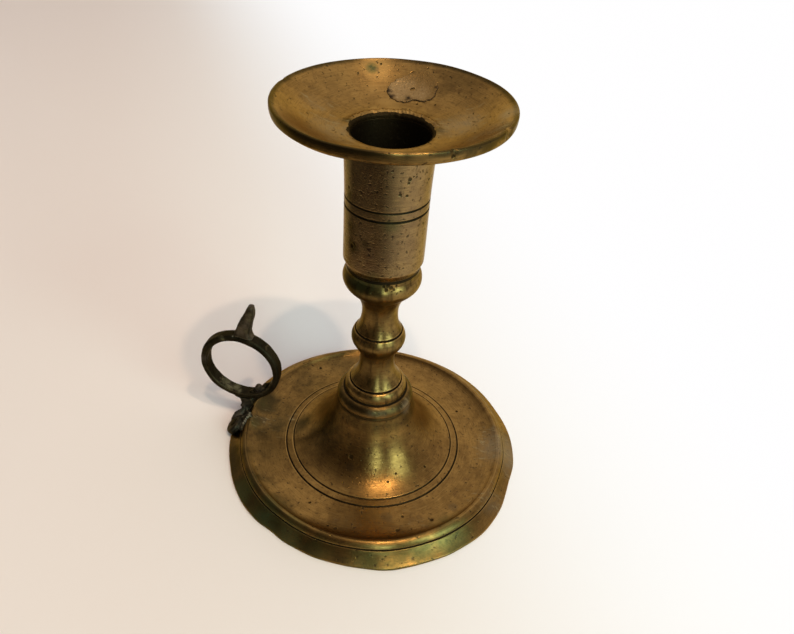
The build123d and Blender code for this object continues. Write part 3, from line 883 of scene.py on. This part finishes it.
# %% Copy a CAD piece into an even, lumpy skin
def lumpy_copy(name, node, finish, voxel, lumps, balls=(), shift=None, melt=3):
    """lumps is a list of (size, depth) in millimetres. balls are (x, y, z, radius, height share)
    drops of solder that melt into the piece before it is covered. melt is how often the skin is
    smoothed, and shift moves its points in place."""
    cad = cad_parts[node].data
    mesh = bpy.data.meshes.new(name)
    corners = [v.co.copy() for v in cad.vertices]
    mesh.from_pydata(corners, [], [tuple(p.vertices) for p in cad.polygons])
    work = add_object(name + "_work", mesh)
    shell = bmesh.new()
    shell.from_mesh(mesh)
    bmesh.ops.remove_doubles(shell, verts=shell.verts, dist=0.002 * MM)
    for x, y, z, radius, flat in balls:
        place = Matrix.Translation(Vector((x, y, z)) * MM) @ Matrix.Diagonal((1, 1, flat, 1))
        bmesh.ops.create_icosphere(shell, subdivisions=3, radius=radius * MM, matrix=place)
    shell.to_mesh(mesh)
    shell.free()
    cover = work.modifiers.new("cover", "REMESH")
    cover.mode = "VOXEL"
    cover.voxel_size = voxel * MM
    work.modifiers.new("soften", "SMOOTH").iterations = melt
    evaluated = work.evaluated_get(bpy.context.evaluated_depsgraph_get())
    skin = evaluated.to_mesh()
    points, normals = np.empty((2, 3 * len(skin.vertices)), np.float32)
    skin.vertices.foreach_get("co", points)
    skin.vertices.foreach_get("normal", normals)
    points, normals = points.reshape(-1, 3).astype(float), normals.reshape(-1, 3)
    quads = [tuple(p.vertices) for p in skin.polygons if len(p.vertices) == 4]
    evaluated.to_mesh_clear()
    bpy.data.objects.remove(work)
    push = np.zeros(len(points))
    for size, depth in lumps:
        push += [depth * MM * noise.noise(Vector(p / (size * MM))) for p in points]
    points += normals * push[:, None]
    if shift:
        shift(points)
    return make_piece(name, points, quads, finish, (node,))


# %% [markdown]
# ## The dark patina
# The handle was never polished: it is nearly black, with olive where fingers rub it and a few pale
# worn places. Pointiness finds the edges of these lumpy skins, which have no outline to measure.

# %% Mix the dark patina
GREEN_BLACK = (0.016, 0.019, 0.010)
RED_BLACK = (0.035, 0.025, 0.016)
BARE_EDGE = (0.13, 0.10, 0.05)
FINGERED = (0.15, 0.135, 0.07)
CRUST = (0.062, 0.048, 0.038)
SOLDER_AND_GLINT = (0.20, 0.175, 0.125)
PATINA_TINT = (0.80, 0.68, 0.48, 1)


def dark_patina(
    name, rubbed=(), crust=(), solder=(), low=(0.008, 0.0065, 0.0035),
    high=(0.024, 0.019, 0.010), rub=0.65,
):
    """rubbed, crust and solder are (x, y, z, radius) in millimetres. The patina runs from the
    colour low to the colour high, and rub is how strongly the rubbed places show."""
    f = Finish(name)
    lumps, mottle, grain = f.noise(4.5, 4), f.noise(1.6, 5, 0.6), f.noise(0.4, 3, 0.6)
    edge = f.node("ShaderNodeNewGeometry", out="Pointiness").between(0.5, 0.56)
    colour = f.coats(
        f.mix((lumps * 0.6 + mottle * 0.5).between(0.4, 0.75), low, high),
        (mottle.between(0.58, 0.72) * 0.5, GREEN_BLACK),
        (grain.between(0.55, 0.8) * 0.35, RED_BLACK),
        (edge * (mottle * 0.8 + 0.2) * 0.5, BARE_EDGE),
    )
    rough = 0.42 + mottle * 0.2 - edge * 0.08
    metal = 0.95 - mottle * 0.1
    f.set("Specular IOR Level", 0.2)
    f.set("Specular Tint", PATINA_TINT)
    if rubbed:
        share = f.patches(rubbed)
        colour = f.mix(share * rub, colour, FINGERED)
        rough = rough - share * 0.1
    if crust:
        share = f.patches(crust)
        colour = f.mix(share * 0.7, colour, CRUST)
        metal = metal - share * 0.3
    if solder:
        share = f.spots(solder, 0.4)
        # Pale solder; on the ring's foot it also stands for a painted highlight along the strap's
        # ridge.
        colour = f.mix(share * 0.8, colour, SOLDER_AND_GLINT)
        rough = rough + share * 0.12
        metal = metal - share * 0.4
    return f.close(colour, rough, metal, mottle + grain * 0.5, 0.09)


# %% [markdown]
# ## The finger ring
# The band is a strip bent round and brazed shut low on the side of the stick, where a ragged blob of
# braze stands inside it. The olive rubbed place is where the finger rests.

# %% Dress the finger ring
RING_X = STICK_X / MM - 46.55
RING_Z = 25.6


def on_ring(places):
    """Turn places (polar angle from +X towards +Z, radius, y, ...) into (x, y, z, ...)."""
    return [
        (RING_X + radius * cos(radians(polar)), y, RING_Z + radius * sin(radians(polar)), *rest)
        for polar, radius, y, *rest in places
    ]


BRAZE = (
    (-58, 10.7, 0.1, 1.25, 1), (-66, 11.3, 0.3, 1, 0.9), (-74, 11.8, -0.2, 0.85, 0.9),
    (-50, 11.4, -0.5, 0.95, 1), (-43, 11.2, 0.2, 0.9, 1), (-37, 11.7, 0.3, 0.8, 1),
    (84, 13.6, -1.2, 0.9, 0.8), (98, 13.5, 0.8, 0.8, 0.8),
)
FINGER_PLACES = (
    (-123, 11.9, 0.3, 2), (-114, 11.9, -0.6, 1.7), (-104, 11.9, 0.4, 1.8), (-96, 11.9, -0.8, 1.1),
    (112, 13.2, -2, 1.1),
)
ring_patina = dark_patina(
    "ring_patina",
    rubbed=on_ring(FINGER_PLACES),
    crust=on_ring(((-56, 10.8, 0.0, 2.6), (172, 13.2, -1.5, 2.2))),
    solder=((-42.4, -1.6, 39.2, 0.35), (-42.6, -2.3, 37.4, 0.4)),
)
ring_lumps = ((7, 0.26), (1.8, 0.06))
lumpy_copy("ring_band", "finger_ring", ring_patina, 0.24, ring_lumps, on_ring(BRAZE))

# %% [markdown]
# ## The thumb spur
# The spur is a short horn that the thumb presses. Its tip and the ridge towards the stick are rubbed.

# %% Dress the thumb spur
spur_patina = dark_patina(
    "spur_patina",
    rubbed=((-36.0, -1.4, 47.5, 1.5), (-37.3, -1.9, 42.6, 1.3), (-35.8, -1.2, 49.6, 1.1)),
    crust=((-36.0, 0.0, 51.5, 1.3),),
    low=(0.034, 0.026, 0.016),
    high=(0.125, 0.095, 0.062),
    rub=0.35,
)
lumpy_copy("spur_horn", "thumb_spur", spur_patina, 0.18, ((4, 0.22), (1.2, 0.07)))

# %% [markdown]
# ## The foot of the ring and its rivets
# The foot stands across the saucer's crest and lies on the skirt. It is the roughest place of all:
# a saddle of braze under the ring, three ridges of it that run down over the strap, a pale line
# painted along the strap's ridge, which stands for its highlight as well as for run solder, and
# round dark rivet heads.

# %% Dress the foot and the rivets
NECK_BACK = -40.6 * MM
LOBE_OUT = -44.9 * MM


def foot_shift(points):
    """Draw the neck in below the ring, and the near lobe out over the skirt's edge."""
    x, y, z = points.T
    under = soft_step(11.5 * MM - z, 0, 5.5 * MM) * (1 - soft_step(np.abs(y), 2.4 * MM, 3.4 * MM))
    x -= (x - NECK_BACK) * 0.55 * under
    x -= (x - LOBE_OUT) * 0.2 * soft_step(-y, 4.0 * MM, 5.5 * MM)


saddle = [(t, 13.0 + 2.6 * bell(t + 84, 17), 0.0, 1.3, 1.0) for t in range(-124, -50, 4)]
gusset = on_ring(saddle)
STRAP_RIDGES = (
    (1.9, ((-39.7, 0.2, 8.6), (-40.8, -1.0, 6.6), (-41.8, -2.6, 4.9), (-42.7, -4.6, 3.6))),
    (1.3, ((-38.8, -0.3, 7.6), (-38.7, -2.0, 6.0), (-39.2, -3.8, 5.0), (-40.2, -5.8, 4.2))),
    (1.2, ((-38.4, -1.6, 6.2), (-38.0, -4.2, 5.2), (-37.4, -6.6, 4.7), (-37.7, -8.8, 4.0))),
)
for radius, line in STRAP_RIDGES:
    for t in np.linspace(0, 3, 16):
        spot = [float(np.interp(t, range(4), column)) for column in np.transpose(line)]
        gusset.append((*spot, radius, 1.0))
# Painted highlight, partly run solder: a pale line along the strap's ridge.
RIDGE_GLINT = (
    (-38.1, -2.3, 7.1), (-38, -3.2, 6.7), (-38.1, -4.1, 6.3), (-38.3, -5, 6), (-38.5, -5.9, 5.8),
    (-38.7, -6.8, 5.6), (-39, -7.6, 5.3),
)
foot_patina = dark_patina(
    "foot_patina",
    crust=(
        (-42.6, -3, 6, 2.6), (-43.4, -4.6, 4.8, 2.2), (-42.2, 2.5, 4.8, 2.4), (-41, -1.8, 8.5, 1.8),
    ),
    solder=[(*place, 0.6) for place in RIDGE_GLINT],
    low=(0.018, 0.015, 0.010),
    high=(0.050, 0.041, 0.028),
)
foot_lumps, rivet_lumps = ((3, 0.3), (1.1, 0.12)), ((2, 0.2), (0.8, 0.08))
lumpy_copy("ring_foot_skin", "ring_foot", foot_patina, 0.2, foot_lumps, gusset, foot_shift, melt=20)
lumpy_copy("rivet_heads", "ring_rivets", dark_patina("rivet_patina"), 0.16, rivet_lumps)

# %% [markdown]
# ## The old wax on the pan
# A thin brown scab of old wax and dirt sticks to the back of the pan. It could be painted on, but it
# has an edge that catches the light, so it is a thin piece that follows the pan's dish. Its border
# is a smooth curve through a few points, made ragged by noise, and rings step in from it.

# %% Shape the wax scab
SCAB = (
    (0, 20), (0.7, 22.1), (2.2, 23.9), (3.9, 24.8), (6, 26.3), (8.6, 26.9), (11, 26.1),
    (13.1, 24.2), (13.4, 21.4), (12.6, 18.8), (10.7, 17.5), (8, 17.8), (6.3, 16.8), (4, 16.4),
    (1.7, 17.7),
)
# Each ring of the scab: its share of the width, its height over the pan, and how dark it is.
SCAB_RINGS = (
    (1, -0.05, 1), (1, 0.12, 1), (0.985, 0.22, 0.8), (0.95, 0.26, 0.3), (0.85, 0.24, 0),
    (0.7, 0.2, 0), (0.5, 0.2, 0), (0.3, 0.2, 0), (0.1, 0.2, 0),
)
SCAB_POINTS = 240
UNDER_DISH = ((10, 21, 30), (115.4, 117.8, 122.4))


def pan_height():
    """The pan's upper surface in millimetres: radii and heights, in order of radius."""
    outline = read_outline("drip_pan")[0] / MM
    top = outline[(outline[:, 0] < 30.0) & (outline[:, 1] > 116.0)]
    top = top[np.argsort(top[:, 0])]
    upper = top[:, 1] > np.interp(top[:, 0], *UNDER_DISH)
    upper[0] = True
    return top[upper].T


def closed_curve(corners, count):
    """count points on a smooth closed curve through the corners."""
    t = np.arange(count) / count * len(corners)
    whole, part = np.floor(t).astype(int), (t % 1)[:, None]
    p0, p1, p2, p3 = (corners[(whole + k) % len(corners)] for k in (-1, 0, 1, 2))
    bend = 2 * p0 - 5 * p1 + 4 * p2 - p3
    twist = 3 * p1 - p0 - 3 * p2 + p3
    return 0.5 * (2 * p1 + (p2 - p0) * part + bend * part**2 + twist * part**3)


def flat_noise(places, pace, layer):
    """Noise from -1 to 1 at points (x, y). A larger pace makes smaller lumps."""
    return np.array([noise.noise(Vector((x * pace, y * pace, layer))) for x, y in places])


border = closed_curve(np.array(SCAB), SCAB_POINTS)
middle = border.mean(0)
ragged = flat_noise(border, 1.1, 0.3) + 0.5 * flat_noise(border, 3.1, 5.3)
border = middle + (border - middle) * (1 + 0.07 * ragged[:, None])
radii, heights = pan_height()
rows = []
for share, rise, _ in SCAB_RINGS:
    flat = middle + (border - middle) * share
    away = np.hypot(flat[:, 0] - STICK_X / MM, flat[:, 1])
    lump = flat_noise(flat, 0.6, 2.0) * 0.05
    z = np.interp(away, radii, heights) + rise + lump * (rise > 0)
    rows.append(np.column_stack((flat, z)) * MM)
points = np.vstack(rows)
lower_right = np.clip((border[:, 0] - 6) / 6 + (20.5 - border[:, 1]) / 4, 0.1, 1)
shares = {
    "outline": np.concatenate([dark * lower_right for _, _, dark in SCAB_RINGS]),
    "milk": near(points, ((3, 20.5, 119, 5.5, 1), (8, 19.5, 119, 4.2, 0.85))),
}

# %% Mix the wax and lay it on the pan
CLEAR_WAX, MILKY_WAX = (0.19, 0.105, 0.03), (0.29, 0.18, 0.072)
WAX_CREAM = (0.44, 0.30, 0.14)
WAX_BROWN = (0.11, 0.062, 0.025)
WAX_DIRT = (0.022, 0.012, 0.006)
WAX_EDGE = (0.03, 0.018, 0.01)
WAX_DIRT_AT = (
    (0.2, 19.8, 118.4, 1.5), (1.6, 17.9, 117.6, 1.3), (6.2, 18.2, 117.7, 1.1),
    (12.9, 22, 120.2, 0.7),
)


def old_wax():
    f = Finish("old_wax")
    lumps, grain = f.noise(3.0, 4, 0.6), f.noise(0.6, 3, 0.6)
    milk = (f.painted("milk") + (lumps - 0.5) * 0.8).between(0.1, 0.9)
    border_dirt = (f.painted("outline") + (grain - 0.5) * 0.8).between(0.25, 0.8)
    colour = f.coats(
        f.mix(milk, CLEAR_WAX, MILKY_WAX),
        (f.noise(0.9, 4, 0.7).between(0.5, 0.72) * milk * 0.5, WAX_CREAM),
        (grain.between(0.55, 0.75) * 0.5, WAX_BROWN),
        (f.patches(WAX_DIRT_AT), WAX_DIRT),
        (border_dirt * 0.85, WAX_EDGE),
    )
    f.set("Specular Tint", BRASS_TINT)
    return f.close(colour, 0.34 + grain * 0.2, 0.8, lumps + grain * 0.6, 0.2)


quads = grid_quads(len(SCAB_RINGS), SCAB_POINTS, closed=False)
make_piece("wax_scab", points, quads, old_wax(), shares=shares)

# %% [markdown]
# ## The table and the light
# The stick stands on a pale sheet that runs from warm grey on the left to white on the right: this
# run is painted light, brighter towards the windows on the right, and the white side glows for the
# camera. Two warm ceiling lamps throw the round shadows of the pan, two cool windows stand to the
# right and in front, and a plain sky fills in the rest. A room could be modelled, but a soft sky
# with a brighter side gives the brass what it needs to mirror.

# %% Lay the floor
SHADED_WARM_GREY = (0.835, 0.74, 0.69)
WINDOW_LIT_WHITE = (0.98, 0.98, 0.98)
PAPER_CLOUD = (0.84, 0.77, 0.75)
WHITE_GLOW = (1.0, 0.995, 1.0, 1)


def pale_sheet():
    """A matt sheet. Its white glows only for the camera and for mirrored and clear rays, so it
    casts no light of its own, and the shadows on it stay."""
    f = Finish("pale_sheet")
    x, y, _ = f.place.axes()
    run = x + y * 0.6
    grain = f.noise(1.2, 3)
    # Painted light: the sheet runs from warm grey to white towards the windows, standing for their
    # light falling across it.
    colour = f.mix(run.between(-0.11, 0.15), SHADED_WARM_GREY, WINDOW_LIT_WHITE)
    colour = f.mix(f.noise(60, 2) * 0.1, colour, PAPER_CLOUD)
    f.set("Specular IOR Level", 0.2)
    sheet = f.close(colour, 0.75 + grain * 0.1, 0.0, grain, 0.02)
    seen = f.node("ShaderNodeLightPath", out="Is Camera Ray")
    for ray in ("Is Glossy Ray", "Is Transmission Ray"):
        seen = seen.either(f.node("ShaderNodeLightPath", out=ray))
    white = f.node("ShaderNodeEmission", None, {"Color": WHITE_GLOW})
    lit = Wire(f.tree, f.shader.outputs[0])
    # Painted light: the white glow is mixed in only on the windows' side.
    plugs = {0: run.between(-0.02, 0.17) * seen, 1: lit, 2: white}
    surface = next(n for n in f.tree.nodes if n.type == "OUTPUT_MATERIAL").inputs["Surface"]
    plug(f.tree, surface, f.node("ShaderNodeMixShader", None, plugs))
    return sheet


floor_mesh = bpy.data.meshes.new("floor")
low, high = -3.0, 3.0
floor_corners = [(low, low, 0), (high, low, 0), (high, high, 0), (low, high, 0)]
floor_mesh.from_pydata(floor_corners, [], [(0, 1, 2, 3)])
floor_mesh.materials.append(pale_sheet())
floor = add_object("floor", floor_mesh)


# %% Hang the lamps
def lamp(name, at, size, power, colour, aim=(STICK_X, 0, 0.06)):
    """A round lamp if size is one number, or a window if it is a width and a height."""
    light = bpy.data.lights.new(name, "AREA")
    light.shape = "DISK" if isinstance(size, float) else "RECTANGLE"
    light.size, light.size_y = (size, size) if isinstance(size, float) else size
    light.energy, light.color = power, colour
    hung = add_object(name, light)
    hung.location = at
    hung.rotation_euler = (Vector(aim) - Vector(at)).to_track_quat("-Z", "Y").to_euler()
    print(name, "of", power, "watts")


LAMPLIGHT, DAYLIGHT = (1.0, 0.75, 0.52), (0.66, 0.97, 0.94)
lamp("ceiling_lamp_right", (0.655, -0.475, 1.605), 0.06, 6.0, LAMPLIGHT)
lamp("ceiling_lamp_front", (0.324, -0.591, 1.704), 0.06, 6.0, LAMPLIGHT)
lamp("window_right", (1.1, -0.62, 0.62), (0.56, 1.0), 9.0, DAYLIGHT)
lamp("window_front", (0.47, -1.2, 0.5), (0.22, 0.95), 4.8, DAYLIGHT)

# %% [markdown]
# ## The dark card
# Polished metal mirrors all that stands round it. A photographer therefore lays dark cards where the
# metal should look deep. This one lies on the table in front and on the left, outside the picture,
# and fades to the colour of the table at its ends, so that no edge of it shows in the brass. Only
# mirrored light meets it, so it neither shades the table nor hides anything from a camera.

# %% Lay the dark card
CARD_ENDS = ((138, 0.85), (158, 0.5), (176, 0.04), (268, 0.0), (292, 0.3), (306, 0.75), (324, 1.0))
CARD_RADII = (0.115, 2.9)
CARD_HEIGHT = 0.001
FELT_DARK, FELT_PALE = (0.06, 0.05, 0.04), (0.78, 0.80, 0.82)
card_turns = np.arange(138, 325, 3)
corners = [
    (r * cos(radians(t)), r * sin(radians(t)), CARD_HEIGHT) for t in card_turns for r in CARD_RADII
]
faces = [(2 * k, 2 * k + 1, 2 * k + 3, 2 * k + 2) for k in range(len(card_turns) - 1)]
card_mesh = bpy.data.meshes.new("dark_card")
card_mesh.from_pydata(corners, [], faces)
paleness = np.interp(card_turns, *zip(*CARD_ENDS)).astype(np.float32)
pale_end = card_mesh.attributes.new("pale_end", "FLOAT", "POINT")
pale_end.data.foreach_set("value", np.repeat(paleness, 2))
felt = Finish("card_felt")
felt.set("Emission Color", felt.mix(felt.painted("pale_end"), FELT_DARK, FELT_PALE))
felt.set("Emission Strength", 1.0)
card_mesh.materials.append(felt.close((0.0, 0.0, 0.0, 1), 1.0, 0.0))
card = add_object("dark_card", card_mesh)
card.visible_camera = card.visible_diffuse = card.visible_shadow = False

# %% [markdown]
# ## The sky
# The sky stands for the room: pale behind the stick and overhead, dim in front and on its left.

# %% Light the sky
ROOM_DIM, ROOM_PALE = (0.09, 0.075, 0.065, 1), (1.14, 1.08, 1.08, 1)
world = bpy.data.worlds.new("sky")
bpy.context.scene.world = world
world.use_nodes = True
tree = world.node_tree
sky = next(n for n in tree.nodes if n.type == "BACKGROUND")
side, depth, up = add_node(tree, "ShaderNodeTexCoord", out="Generated").axes()
overhead = (up - 0.72).either(0.0)
bright = (side * 0.06 + depth * 0.52 + overhead * 1.1 + 0.3).between(0.0, 1.0)
plugs = {0: bright, 6: ROOM_DIM, 7: ROOM_PALE}
room = add_node(tree, "ShaderNodeMix", {"data_type": "RGBA"}, plugs, out=2)
plug(tree, sky.inputs["Color"], room)
plug(tree, sky.inputs["Strength"], 1.0)
